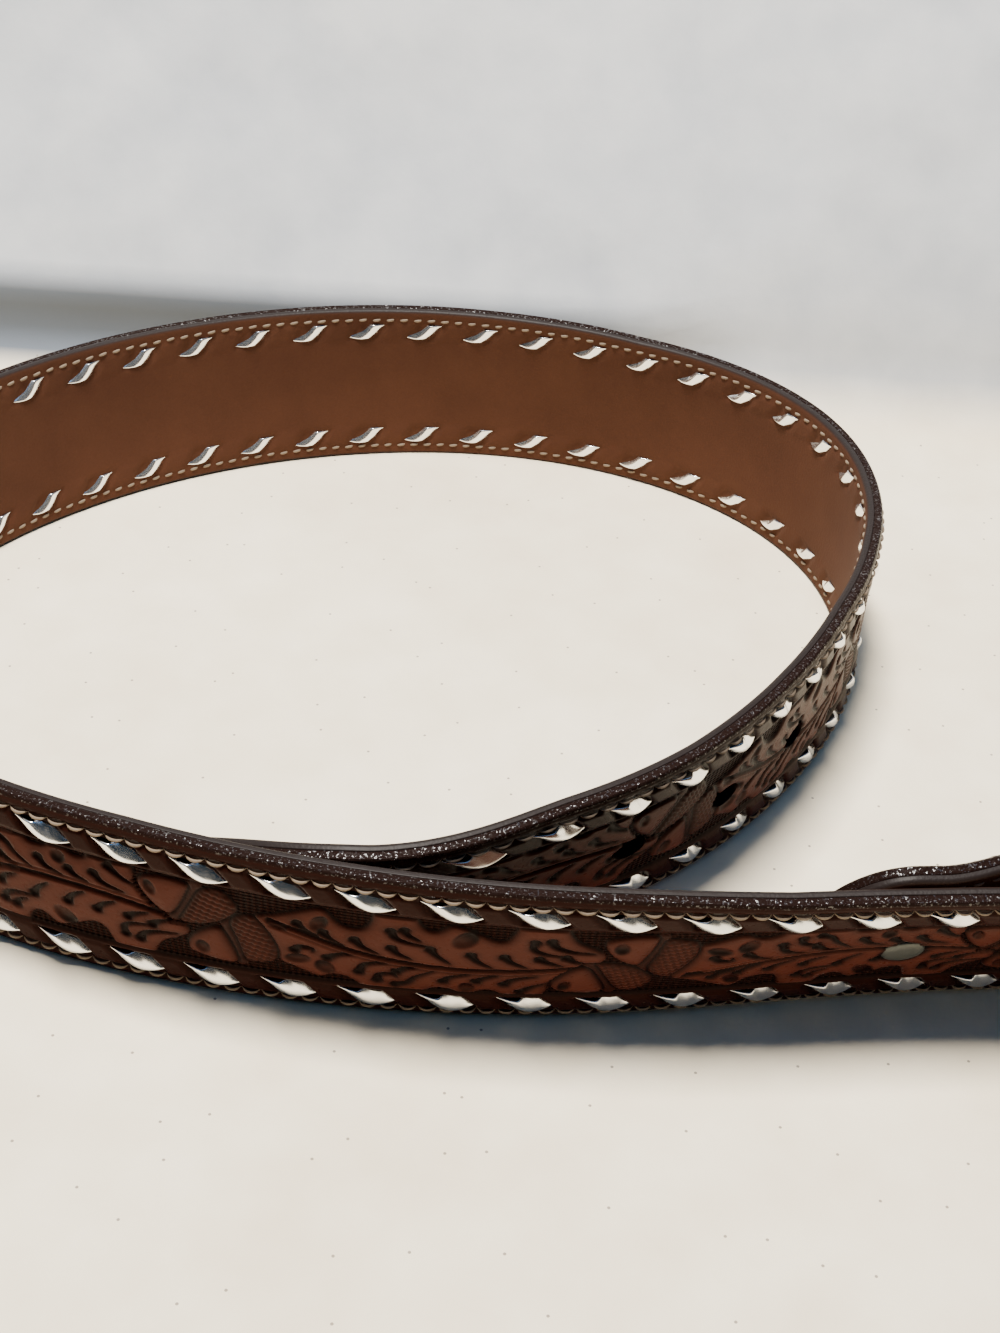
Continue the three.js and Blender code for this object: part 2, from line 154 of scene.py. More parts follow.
def halfHeight(s):
    tip = np.clip((s - strap["length"] + strap["tipTaper"]) / strap["tipTaper"], 0, 1)
    end = np.clip((flapStart + strap["flapRound"] - s) / strap["flapRound"], 0, 1)
    return np.maximum(strap["tipNose"], middle * (1 - tip ** strap["tipPower"]) * np.sqrt(1 - end ** 2))


# The strap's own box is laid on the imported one, to find where the fold is in the frame.
probe = strapPoint(np.arange(flapStart, strap["length"], 2.0)[:, None, None], np.array([-face, face])[:, None],
                   np.linspace(0.6, strap["width"] - 0.6, 7)).reshape(-1, 3)
low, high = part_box("outer_strap")
ownMiddle = (probe.min(0) + probe.max(0)) / 2
place = np.array([500 * (low[i] + high[i]) - ownMiddle[i] for i in (0, 1)] + [0])
print("fold at", place)


def gridMesh(name, points, material, uv=None, marks=None, keep=None):
    columns, rows = points.shape[:2]
    bm = bmesh.new()
    bmesh.ops.create_grid(bm, x_segments=columns - 1, y_segments=rows - 1, size=0.5)
    if keep is not None:
        gone = []
        for f in bm.faces:
            c = f.calc_center_median()
            i = int((c.x + 0.5) * (columns - 1))
            j = int((c.y + 0.5) * (rows - 1))
            if not keep[i, j]:
                gone.append(f)
        bmesh.ops.delete(bm, geom=gone, context="FACES")
    mesh = bpy.data.meshes.new(name)
    bm.to_mesh(mesh)
    bm.free()
    co = np.zeros(len(mesh.vertices) * 3)
    mesh.vertices.foreach_get("co", co)
    co = co.reshape(-1, 3)
    i = np.rint((co[:, 0] + 0.5) * (columns - 1)).astype(int)
    j = np.rint((co[:, 1] + 0.5) * (rows - 1)).astype(int)
    placed = (points[i, j] + place) / 1000
    mesh.vertices.foreach_set("co", placed.ravel())
    if uv is not None:
        corner = np.zeros(len(mesh.loops), int)
        mesh.loops.foreach_get("vertex_index", corner)
        layer = mesh.uv_layers.new(name="strapMap")
        layer.data.foreach_set("uv", (uv[i, j][corner] / 100).ravel())
    for label, values in (marks or {}).items():
        attribute = mesh.attributes.new(label, "FLOAT", "POINT")
        attribute.data.foreach_set("value", values[i, j].astype(np.float32))
    mesh.polygons.foreach_set("use_smooth", [True] * len(mesh.polygons))
    mesh.update()
    mesh.materials.append(material)
    piece = bpy.data.objects.new(name, mesh)
    bpy.context.scene.collection.objects.link(piece)
    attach(piece, "root")
    return piece


# Materials
def newMaterial(name, **values):
    material = bpy.data.materials.new(name)
    material.use_nodes = True
    shader = material.node_tree.nodes["Principled BSDF"]
    for key, value in values.items():
        shader.inputs[key.replace("_", " ")].default_value = value
    return material, material.node_tree, shader


def addNode(tree, kind, links=(), **settings):
    node = tree.nodes.new(kind)
    for key, value in settings.items():
        setattr(node, key, value)
    for socket, value in links:
        if isinstance(value, bpy.types.NodeSocket):
            tree.links.new(value, node.inputs[socket])
        else:
            node.inputs[socket].default_value = value
    return node


def maths(tree, operation, first, second=0.0, clamp=False):
    node = addNode(tree, "ShaderNodeMath", [(0, first), (1, second)], operation=operation, use_clamp=clamp)
    return node.outputs[0]


def blendColors(tree, share, first, second):
    node = addNode(tree, "ShaderNodeMix", [(0, share), (6, first), (7, second)], data_type="RGBA")
    return node.outputs[2]


def noise(tree, scale, detail=3.0, roughness=0.55):
    where = addNode(tree, "ShaderNodeTexCoord").outputs["Object"]
    links = [("Vector", where), ("Scale", scale), ("Detail", detail), ("Roughness", roughness)]
    return addNode(tree, "ShaderNodeTexNoise", links).outputs["Fac"]


def mark(tree, label):
    return addNode(tree, "ShaderNodeAttribute", attribute_name=label).outputs["Fac"]


tooledLook = {
    "cut": (0.003, 0.0012, 0.001, 1), "raised": (0.064, 0.0178, 0.0112, 1), "paint": (0.010, 0.005, 0.004, 1),
    "grain": 900.0, "mattingPitch": (1.2, 0.9), "mattingDepth": 0.9, "mattingTone": 0.12,
}


def tooledLeather():
    material, tree, shader = newMaterial("tooled_leather")
    tone, matting, paint = mark(tree, "tone"), mark(tree, "matting"), mark(tree, "paint")
    mottling = noise(tree, 55.0, 4.0)
    fine = noise(tree, tooledLook["grain"], 3.0)
    varied = maths(tree, "MULTIPLY_ADD", maths(tree, "SUBTRACT", mottling, 0.5), 0.35)
    varied.node.inputs[2].default_value = 0.0
    toned = maths(tree, "ADD", tone, maths(tree, "MULTIPLY", varied, tone), True)
    map_ = addNode(tree, "ShaderNodeUVMap", uv_map="strapMap").outputs[0]
    parts = addNode(tree, "ShaderNodeSeparateXYZ", [(0, map_)])
    turns = [100 * 2 * math.pi / pitch for pitch in tooledLook["mattingPitch"]]
    waves = [maths(tree, "SINE", maths(tree, "MULTIPLY", parts.outputs[i], turns[i])) for i in (0, 1)]
    dots = maths(tree, "MULTIPLY", maths(tree, "ADD", waves[0], waves[1]), 0.5)
    bumps = maths(tree, "MULTIPLY", dots, matting)
    # The tone mark holds the antique stain and also painted shade at leaf edges, vein halos, thumbprints, lace slits
    # and hole rims, with a painted shadow ring round the snap; the matting dots add tone where they stand up.
    lit = maths(tree, "ADD", toned, maths(tree, "MULTIPLY", bumps, tooledLook["mattingTone"]), True)
    color = blendColors(tree, lit, tooledLook["cut"], tooledLook["raised"])
    painted = blendColors(tree, paint, color, tooledLook["paint"])
    tree.links.new(painted, shader.inputs["Base Color"])
    glint = maths(tree, "MULTIPLY", maths(tree, "GREATER_THAN", noise(tree, 1900.0, 2.0), 0.6), paint)
    gloss = maths(tree, "ADD", maths(tree, "MULTIPLY", glint, 0.9), 0.02)
    tree.links.new(gloss, shader.inputs["Specular IOR Level"])
    rough = maths(tree, "ADD", maths(tree, "MULTIPLY", fine, 0.2), 0.2)
    tree.links.new(rough, shader.inputs["Roughness"])
    height = maths(tree, "ADD", maths(tree, "MULTIPLY", bumps, tooledLook["mattingDepth"]),
                   maths(tree, "MULTIPLY", fine, maths(tree, "ADD", maths(tree, "MULTIPLY", paint, 1.1), 0.22)))
    bump = addNode(tree, "ShaderNodeBump", [("Height", height), ("Distance", 0.0003), ("Strength", 1.0)])
    tree.links.new(bump.outputs[0], shader.inputs["Normal"])
    return material


liningLook = {
    "dark": (0.038, 0.0125, 0.0058, 1), "light": (0.088, 0.034, 0.017, 1), "paint": (0.011, 0.007, 0.006, 1),
}


def liningLeather():
    material, tree, shader = newMaterial("lining_leather", Specular_IOR_Level=0.15)
    paint = mark(tree, "paint")
    mottling = noise(tree, 35.0, 5.0, 0.6)
    nap = noise(tree, 1500.0, 2.0)
    share = maths(tree, "ADD", maths(tree, "MULTIPLY", mottling, 0.8), maths(tree, "MULTIPLY", nap, 0.25), True)
    color = blendColors(tree, share, liningLook["dark"], liningLook["light"])
    tree.links.new(blendColors(tree, paint, color, liningLook["paint"]), shader.inputs["Base Color"])
    tree.links.new(maths(tree, "SUBTRACT", 0.85, maths(tree, "MULTIPLY", paint, 0.35)), shader.inputs["Roughness"])
    bump = addNode(tree, "ShaderNodeBump", [("Height", nap), ("Distance", 0.0001), ("Strength", 0.7)])
    tree.links.new(bump.outputs[0], shader.inputs["Normal"])
    return material


def plainLook(name, roughness, grain, depth, **values):
    material, tree, shader = newMaterial(name, Roughness=roughness, **values)
    links = [("Height", noise(tree, grain)), ("Distance", depth), ("Strength", 0.5)]
    bump = addNode(tree, "ShaderNodeBump", links)
    tree.links.new(bump.outputs[0], shader.inputs["Normal"])
    return material


tooled = tooledLeather()
suede = liningLeather()
silver = plainLook("silver_lace", 0.2, 300.0, 0.00002, Base_Color=(0.86, 0.86, 0.86, 1), Metallic=0.94)
thread = plainLook("cream_thread", 0.7, 2500.0, 0.0002, Base_Color=(0.19, 0.145, 0.105, 1), Specular_IOR_Level=0.1)
gunmetal = plainLook("snap_metal", 0.42, 900.0, 0.00006, Base_Color=(0.055, 0.06, 0.055, 1), Metallic=0.7)
nickel = plainLook("buckle_metal", 0.28, 900.0, 0.00003, Base_Color=(0.62, 0.61, 0.59, 1), Metallic=1.0)

# The oak leaf and acorn pattern, in millimetres: u runs along the strap towards the fold and v up from the
# middle. It repeats every period, upside down each time.
pattern = {"period": 74.75, "start": 205.0, "cell": 0.1, "depth": 0.75, "panel": 12.2, "from": 26.0}
leaf = [
    (24.2, 5.9), (27.5, 6.7), (31.2, 8.5), (34.7, 10.5), (36.4, 11.3), (37.7, 10.5), (38.6, 8.7), (40.1, 7.1),
    (42.0, 6.4), (43.9, 6.7), (45.1, 8.1), (45.8, 10.2), (46.1, 13.4), (53.2, 13.4), (53.9, 10.2), (55.1, 8.7),
    (56.8, 8.3), (58.1, 9.3), (59.1, 10.5), (60.3, 10.9), (62.5, 9.9), (65.0, 8.3), (67.2, 7.0), (68.8, 7.0),
    (69.8, 8.2), (70.5, 10.2), (71.4, 13.4), (78.9, 13.4), (80.3, 9.1), (82.0, 7.1), (84.4, 5.8), (87.2, 3.3),
    (85.6, 0.2), (83.4, -1.7), (80.3, -4.0), (78.1, -7.7), (77.2, -10.2), (76.6, -13.6), (69.0, -13.6),
    (68.1, -11.2), (66.2, -10.7), (64.7, -11.3), (63.8, -12.4), (62.5, -12.7), (60.9, -12.1), (59.4, -11.0),
    (57.2, -10.8), (55.8, -11.5), (55.1, -13.6), (43.1, -13.6), (42.7, -11.7), (41.6, -10.3), (40.0, -9.4),
    (38.1, -9.4), (36.9, -10.3), (35.9, -10.9), (34.7, -10.5), (32.5, -9.1), (30.6, -8.0), (28.9, -7.4),
    (28.4, -6.5), (28.6, -4.4), (28.2, -2.2), (27.2, 0.9), (25.9, 3.3),
]
nuts = [
    [(2.6, 8.7), (4.9, 10.9), (9.4, 11.5), (13.0, 10.8), (12.2, 8.2), (10.9, 5.0), (9.5, 2.1), (8.2, 0.9),
     (6.1, 2.4), (3.9, 5.5)],
    [(17.9, 0.5), (15.0, -1.1), (12.5, -3.6), (11.2, -6.8), (11.4, -8.5), (12.8, -9.3), (16.8, -10.5),
     (20.6, -10.5), (20.4, -7.7), (19.2, -3.2)],
]
caps = [
    [(14.9, 10.2), (18.2, 11.3), (20.3, 9.3), (21.8, 6.4), (19.9, 3.8), (17.4, 1.3), (13.9, -0.2), (10.0, -0.7),
     (11.1, 1.6), (13.0, 5.8)],
    [(20.6, 3.8), (22.5, 5.1), (24.1, 5.6), (25.8, 3.1), (27.1, 0.2), (28.1, -2.8), (28.2, -5.3), (27.9, -7.5),
     (26.6, -8.6), (22.0, -9.6), (21.6, -6.5), (20.9, -2.2), (19.8, 1.5)],
]
collars = [
    [(14.0, 10.9), (12.7, 7.0), (10.9, 3.2), (9.3, 0.4)],
    [(18.8, 2.6), (20.2, -2.0), (21.0, -6.5), (21.3, -10.0)],
]
midrib = [
    (27.2, 4.6), (31.2, 3.4), (35.0, 1.8), (38.8, 0.1), (43.1, -1.3), (48.1, -2.5), (53.8, -3.4), (60.0, -3.9),
    (67.5, -3.8), (73.8, -3.2), (78.8, -2.4), (83.8, -1.3),
]
veins = [
    [(32.4, 5.9), (33.6, 4.4), (36.2, 3.1)], [(37.0, 4.4), (38.0, 2.8), (40.5, 1.3)],
    [(42.6, 3.4), (43.8, 1.6), (46.8, -0.1)], [(49.1, 2.2), (50.0, 0.7), (52.6, -0.7)],
    [(56.0, 3.0), (56.9, 1.2), (59.4, -1.1)], [(63.1, 2.2), (64.1, 0.2), (66.8, -1.6)],
    [(69.0, 2.2), (70.0, 0.6), (72.9, -1.1)], [(75.1, 2.1), (76.6, 0.9), (79.2, -0.1)],
    [(79.8, 2.8), (81.0, 1.6), (83.0, 0.9)], [(49.0, 7.5), (49.4, 5.8), (51.9, 4.5), (55.8, 4.0)],
    [(51.4, 8.2), (51.9, 6.9), (54.1, 5.6)], [(73.9, 7.6), (73.5, 5.6), (75.3, 4.2), (78.9, 3.4)],
    [(76.8, 8.2), (77.5, 6.4), (80.6, 4.9), (84.5, 4.4)], [(31.6, -2.3), (32.5, -0.9), (35.1, -1.0), (34.8, -2.2)],
    [(37.5, -3.4), (39.4, -1.8), (41.8, -1.5)], [(43.1, -7.0), (43.8, -4.3), (46.0, -3.3), (48.0, -3.2)],
    [(46.4, -9.2), (46.5, -7.2), (49.1, -6.3), (50.0, -7.5)], [(50.0, -5.4), (51.8, -4.0), (53.5, -3.8)],
    [(49.8, -10.3), (52.0, -9.4), (53.1, -7.0), (56.5, -4.5)], [(58.4, -7.7), (59.5, -5.9), (62.9, -4.8)],
    [(64.4, -7.0), (65.6, -5.6), (68.0, -4.8)], [(69.4, -7.7), (70.8, -5.6), (75.1, -4.4)],
    [(72.5, -10.7), (74.4, -8.6), (76.9, -7.2)],
]
# centre, half sizes and turn of every thumbprint
dimples = [
    (36.2, 7.1, 1.6, 2.5, -30), (28.6, 4.2, 2.2, 0.9, -25), (61.9, 7.1, 2.1, 3.1, -35), (32.0, -5.0, 2.6, 1.6, 15),
    (36.9, -6.8, 1.9, 2.6, 25), (62.6, -9.7, 1.6, 2.0, 0), (5.4, 7.9, 1.2, 2.1, 15), (14.2, -6.5, 1.5, 2.1, 0),
]


def rounded(outline, times=2, closed=True):
    points = np.array(outline, float)
    for _ in range(times):
        following = np.roll(points, -1, 0) if closed else points[1:]
        first = points if closed else points[:-1]
        cut = np.stack([mix(first, following, 0.25), mix(first, following, 0.75)], 1).reshape(-1, 2)
        points = cut if closed else np.vstack([points[:1], cut, points[-1:]])
    return points


def toSegments(u, v, line, closed):
    nearest = np.full(u.shape, 1e9)
    along = np.zeros(u.shape)
    inside = np.zeros(u.shape, bool)
    ends = np.roll(line, -1, 0) if closed else line[1:]
    for index, (p, q) in enumerate(zip(line, ends)):
        d = q - p
        t = np.clip(((u - p[0]) * d[0] + (v - p[1]) * d[1]) / (d @ d + 1e-12), 0, 1)
        distance = np.hypot(u - p[0] - t * d[0], v - p[1] - t * d[1])
        closer = distance < nearest
        nearest = np.where(closer, distance, nearest)
        along = np.where(closer, (index + t) / len(ends), along)
        if closed:
            crossing = (p[1] > v) != (q[1] > v)
            inside ^= crossing & (u < p[0] + (v - p[1]) * d[0] / (d[1] + 1e-12))
    return (np.where(inside, nearest, -nearest) if closed else nearest), along


def drawPattern():
    cell = pattern["cell"]
    wide = np.arange(0, 90, cell)
    tall = np.arange(-13, 13 + cell / 2, cell)
    u, v = np.meshgrid(wide, tall, indexing="ij")
    depth = pattern["depth"]
    height = np.full(u.shape, -depth)
    tone = np.full(u.shape, 0.14)
    matting = np.ones(u.shape)

    def raise_(outline, level, dome, toneInside):
        nonlocal height, tone, matting
        d, _ = toSegments(u, v, rounded(outline), True)
        body = level + dome * (1 - np.exp(-np.maximum(d, 0) / 1.6))
        height = np.where(d > -0.8, np.minimum(height, -depth * smooth((d + 0.8) / 0.5)), height)
        height = np.where(d > -0.25, mix(-depth, body, smooth((d + 0.25) / 0.6)), height)
        # painted shade: each raised shape is darker towards its outline
        shaded = toneInside * mix(0.62, 1.0, smooth(d / 2.2))
        tone = np.where(d > -0.6, mix(tone, 0.02, smooth((d + 0.6) / 0.35)), tone)
        tone = np.where(d > -0.1, mix(0.02, shaded, smooth((d + 0.1) / 0.4)), tone)
        matting = np.where(d > -0.4, 0, matting)
        return d

    leafDepth = raise_(leaf, -0.22, 0.3, 1.0)
    for line in veins:
        path = rounded(line, 2, False)
        d, along = toSegments(u, v, path, False)
        reach = mix(1.35, 0.35, along ** 0.7)
        height -= 0.6 * smooth((reach - d) / 0.6)
        # A vein's cut holds dark stain; the wider soft darkening round it is painted shade.
        tone *= 1 - 0.94 * smooth((reach + 0.05 - d) / 0.35)
        tone *= 1 - 0.3 * smooth((reach + 1.3 - d) / 1.3)
    rib = rounded(midrib, 2, False)
    d, along = toSegments(u, v, rib + [0, 0.85], False)
    height -= 0.65 * smooth((0.85 - d) / 0.5)
    tone *= 1 - 0.95 * smooth((0.8 - d) / 0.35)
    d, along = toSegments(u, v, rib - [0, 0.7], False)
    height -= 0.3 * smooth((0.4 - d) / 0.4)
    tone *= 1 - 0.5 * smooth((0.35 - d) / 0.3)
    pairDepth = np.full(u.shape, -9.0)
    for line in collars:
        d, _ = toSegments(u, v, rounded(line, 2, False), False)
        height = np.where(d < 1.2, mix(-0.42, height, smooth((d - 0.9) / 0.3)), height)
        tone = np.where(d < 1.2, 0.3, tone)
        matting = np.where(d < 1.2, 0, matting)
        pairDepth = np.maximum(pairDepth, 1.0 - d)
    for outline in caps:
        d = raise_(outline, -0.35, 0.3, 0.85)
        dots = np.cos(2 * math.pi * (u + 0.5 * v) / 2.1) * np.cos(2 * math.pi * (v - 0.5 * u) / 2.1)
        inner = smooth(d / 0.5)
        height += 0.22 * dots * inner
        tone *= 1 - 0.5 * inner * smooth(0.65 - 0.75 * dots)
        pairDepth = np.maximum(pairDepth, d)
    for outline in nuts:
        pairDepth = np.maximum(pairDepth, raise_(outline, -0.2, 0.38, 1.0))
    for cu, cv, ru, rv, turn in dimples:
        t = math.radians(turn)
        du, dv = (u - cu) * math.cos(t) + (v - cv) * math.sin(t), (v - cv) * math.cos(t) - (u - cu) * math.sin(t)
        q = np.hypot(du / ru, dv / rv)
        height -= 0.5 * smooth((1.05 - q) / 0.6)
        # The thumbprint's hollow holds dark stain and painted shade, and the painted shade is heavier on one side.
        tone *= 1 - smooth((1.1 - q) / 0.3) * mix(0.93, 0.6, smooth(0.5 - dv / rv))
    cover = np.maximum(leafDepth + 0.5, pairDepth + 0.9)
    period = pattern["period"]
    count = int(round(2 * period / cell))
    canvas = [np.full((count, len(tall)), -depth), np.full((count, len(tall)), 0.14), np.ones((count, len(tall)))]
    for turn in (-1, 0, 1):
        first = int(round(turn * period / cell))
        flip = turn % 2 == 1
        at = (first + np.arange(len(wide))) % count if turn >= 0 else first + np.arange(len(wide))
        use = (at >= 0) & (at < count) if turn < 0 else np.arange(len(wide)) + first < count
        shown = cover[use] > 0
        for target, source in zip(canvas, (height, tone, matting)):
            piece = source[use]
            mask = shown
            if flip:
                piece, mask = piece[:, ::-1], shown[:, ::-1]
            target[at[use]] = np.where(mask, piece, target[at[use]])
    return canvas


patternHeight, patternTone, patternMatting = drawPattern()
print("pattern drawn", patternHeight.shape)


def panelShare(s, r):
    t = np.clip((s - strap["length"] + strap["tipTaper"]) / strap["tipTaper"], 0, 1)
    edge = (halfHeight(s) - np.abs(r - middle)) * mix(1.0, 0.82, t) - (middle - pattern["panel"])
    return np.minimum(edge, s - pattern["from"])


def readPattern(s, r):
    u = ((pattern["start"] - s) % (2 * pattern["period"])) / pattern["cell"]
    v = (r - middle + 13) / pattern["cell"]
    i, j = np.floor(u).astype(int), np.clip(np.floor(v).astype(int), 0, patternHeight.shape[1] - 2)
    fu, fv = u - i, np.clip(v - j, 0, 1)
    count = patternHeight.shape[0]
    i, k = i % count, (i + 1) % count
    return [
        mix(mix(p[i, j], p[k, j], fu), mix(p[i, j + 1], p[k, j + 1], fu), fv)
        for p in (patternHeight, patternTone, patternMatting)
    ]


# Lace rows: which piece is at which s. Whole numbers are pieces on the tooled face, halves on the lining.
lace = {
    "inset": 6.2, "width": 4.1, "share": 0.2, "backShare": 0.17, "slant": 0.62, "rise": 1.15, "backRise": 0.7,
    "thickness": 0.4, "dive": 1.2, "slit": 0.8, "corner": 0.8, "twist": 0.38,
}
laceRows = {
    "upper_lace": {
        "r": strap["width"] - lace["inset"],
        "number": [-4, 0, 11, 23.5, 40.5, 43, 51, 54], "s": [-2.0, 57.2, 219.6, 414.6, 678.6, 719.5, 830.4, 872.0],
    },
    "lower_lace": {
        "r": lace["inset"],
        "number": [-4, 0, 12, 24.5, 40.5, 44, 49, 54], "s": [-15.8, 43.2, 219.6, 414.6, 663.4, 719.5, 794.2, 868.7],
    },
}
laceFrom, laceTo = 12.0, strap["length"] - strap["tipTaper"] - 6


def laceNumber(row, s, r):
    return np.interp(s - lace["slant"] * (r - row["r"]), row["s"], row["number"])


def lacePlaces(row, offset, first):
    numbers = np.arange(-4, 56) + offset
    places = np.interp(numbers, row["number"], row["s"])
    return [n for n, s in zip(numbers, places) if first < s < laceTo]


def bandRelief(s, r, side):
    height = np.zeros(s.shape)
    dark = np.zeros(s.shape)
    first = laceFrom if side > 0 else strap["flapLength"] + 6
    for row in laceRows.values():
        n = laceNumber(row, s, r)
        numbers = np.array(lacePlaces(row, 0 if side > 0 else 0.5, first))
        nearest = np.round(n - (0 if side > 0 else 0.5)) + (0 if side > 0 else 0.5)
        present = (nearest >= numbers.min()) & (nearest <= numbers.max())
        phase = np.abs(n - nearest)
        share = lace["share"] if side > 0 else lace["backShare"]
        window = smooth((lace["width"] / 2 + 0.7 - np.abs(r - row["r"])) / 0.7) * present
        slit = np.exp(-((phase - share - 0.035) * 14.8 / lace["slit"]) ** 2) * window
        under = smooth((share + 0.02 - phase) * 14.8 / 1.0) * window
        pillow = window * smooth((phase - share - 0.08) / 0.1)
        scale = 1.0 if side > 0 else 0.45
        height += scale * (0.35 * pillow - 1.2 * slit - 0.55 * under)
        # dark is painted shade: in the lace slits and under the laces
        dark = np.maximum(dark, np.maximum(slit, under) * (0.97 if side > 0 else 0.6))
    return height, dark


# Thread
stitch = {
    "inset": 2.8, "pitch": 3.72, "length": 3.68, "radius": 0.34, "belly": 0.25, "lift": 0.55, "backLength": 2.5,
    "backRadius": 0.42,
}


def stitchLine(upper, inset):
    s = np.arange(flapStart + strap["flapRound"] + 2, strap["length"], 0.4)
    half = halfHeight(s)
    ds, dh = np.gradient(s), np.gradient(half)
    run = np.hypot(ds, dh)
    s, half = s + inset * dh / run, half - inset * ds / run
    s, half = s[half > 0.5], half[half > 0.5]
    return s, middle + half * (1 if upper else -1)


def stitchPlaces(upper):
    s, r = stitchLine(upper, stitch["inset"])
    run = np.concatenate([[0], np.cumsum(np.hypot(np.diff(s), np.diff(r)))])
    at = np.arange(stitch["pitch"] / 2, run[-1], stitch["pitch"])
    heading = np.arctan2(np.gradient(r, run), np.gradient(s, run))
    return np.interp(at, run, s), np.interp(at, run, r), np.interp(at, run, heading)


def stitchRelief(s, r):
    half = halfHeight(s)
    inset = half - np.abs(r - middle)
    near = np.exp(-((inset - stitch["inset"]) / 0.65) ** 2)
    phase = ((s - (flapStart + strap["flapRound"] + 2)) / stitch["pitch"]) % 1
    knot = np.exp(-((np.minimum(phase, 1 - phase)) * stitch["pitch"] / 0.5) ** 2)
    straight = smooth((strap["length"] - strap["tipTaper"] - s) / 3)
    return -near * (0.25 + 0.25 * knot * straight)


snapSpot = {"s": 62.6, "r": middle + 0.8, "flange": 4.1, "flangeRise": 0.75, "cap": 6.2, "capRise": 2.2}
holes = {"s": [strap["length"] - 55.9 - 25.4 * i for i in range(5)], "r": middle - 1.5, "half": (3.6, 2.9)}
slot = {"half": 2.8, "reach": 12.0}


def openHoles(s, r):
    s, r = s.copy(), r.copy()
    inside = np.zeros(s.shape, bool)
    for at in holes["s"]:
        q = np.hypot((s - at) / holes["half"][0], (r - holes["r"]) / holes["half"][1])
        here = q < 1
        inside |= here
        push = np.where(here, 1 / np.maximum(q, 1e-3), 1)
        s, r = at + (s - at) * push, holes["r"] + (r - holes["r"]) * push
    along = np.clip(s, -foldLength - slot["reach"] + slot["half"], slot["reach"] - slot["half"])
    q = np.hypot(s - along, r - middle) / slot["half"]
    here = q < 1
    inside |= here
    push = np.where(here, 1 / np.maximum(q, 1e-3), 1)
    s, r = along + (s - along) * push, middle + (r - middle) * push
    keep = ~(inside[1:, 1:] & inside[:-1, 1:] & inside[1:, :-1] & inside[:-1, :-1])
    return s, r, keep


def holeRelief(s, r):
    height = np.zeros(s.shape)
    for at in holes["s"]:
        q = np.hypot((s - at) / holes["half"][0], (r - holes["r"]) / holes["half"][1])
        height -= 0.3 * np.exp(-((q - 1) / 0.22) ** 2)
    q = np.hypot(s - snapSpot["s"], r - snapSpot["r"]) / snapSpot["flange"]
    # The second value is painted shade: darker at the hole rims, with a painted shadow ring round the snap.
    return height, height - 0.7 * np.exp(-(np.maximum(q - 1, 0) / 0.18) ** 2)


# The plies
shoulders = {1: {"wide": 1.7, "deep": 0.8, "bead": 0.1}, -1: {"wide": 1.0, "deep": 1.0, "bead": 0.0}}


def plyProfile(bare, glued, cell):
    sign = 1 if bare > glued else -1
    wide, deep, bead = shoulders[sign].values()
    turns = np.linspace(0.25, math.pi / 2, 7)
    arc = [(bare - sign * deep * (1 - math.sin(t)), wide * (1 - math.cos(t))) for t in turns]
    corner = bare - sign * deep
    edge = [
        (glued, middle), (glued, 3.0), (glued, 0.09), (glued + sign * 0.07, 0.0),
        (mix(glued, corner, 0.4), 0.0), (mix(glued, corner, 0.75), 0.0), (corner - sign * 0.12, -0.6 * bead),
        (corner, -bead), (corner + sign * 0.1, -0.5 * bead),
    ] + arc
    count = int(round(2 * (middle - wide) / cell))
    rows = [(a, inset, -1.0, 0) for a, inset in edge]
    rows += [(bare, wide, v, 1) for v in np.linspace(-1, 1, count + 1)[1:-1]]
    rows += [(a, inset, 1.0, 0) for a, inset in reversed(edge)]
    return np.array(rows).T


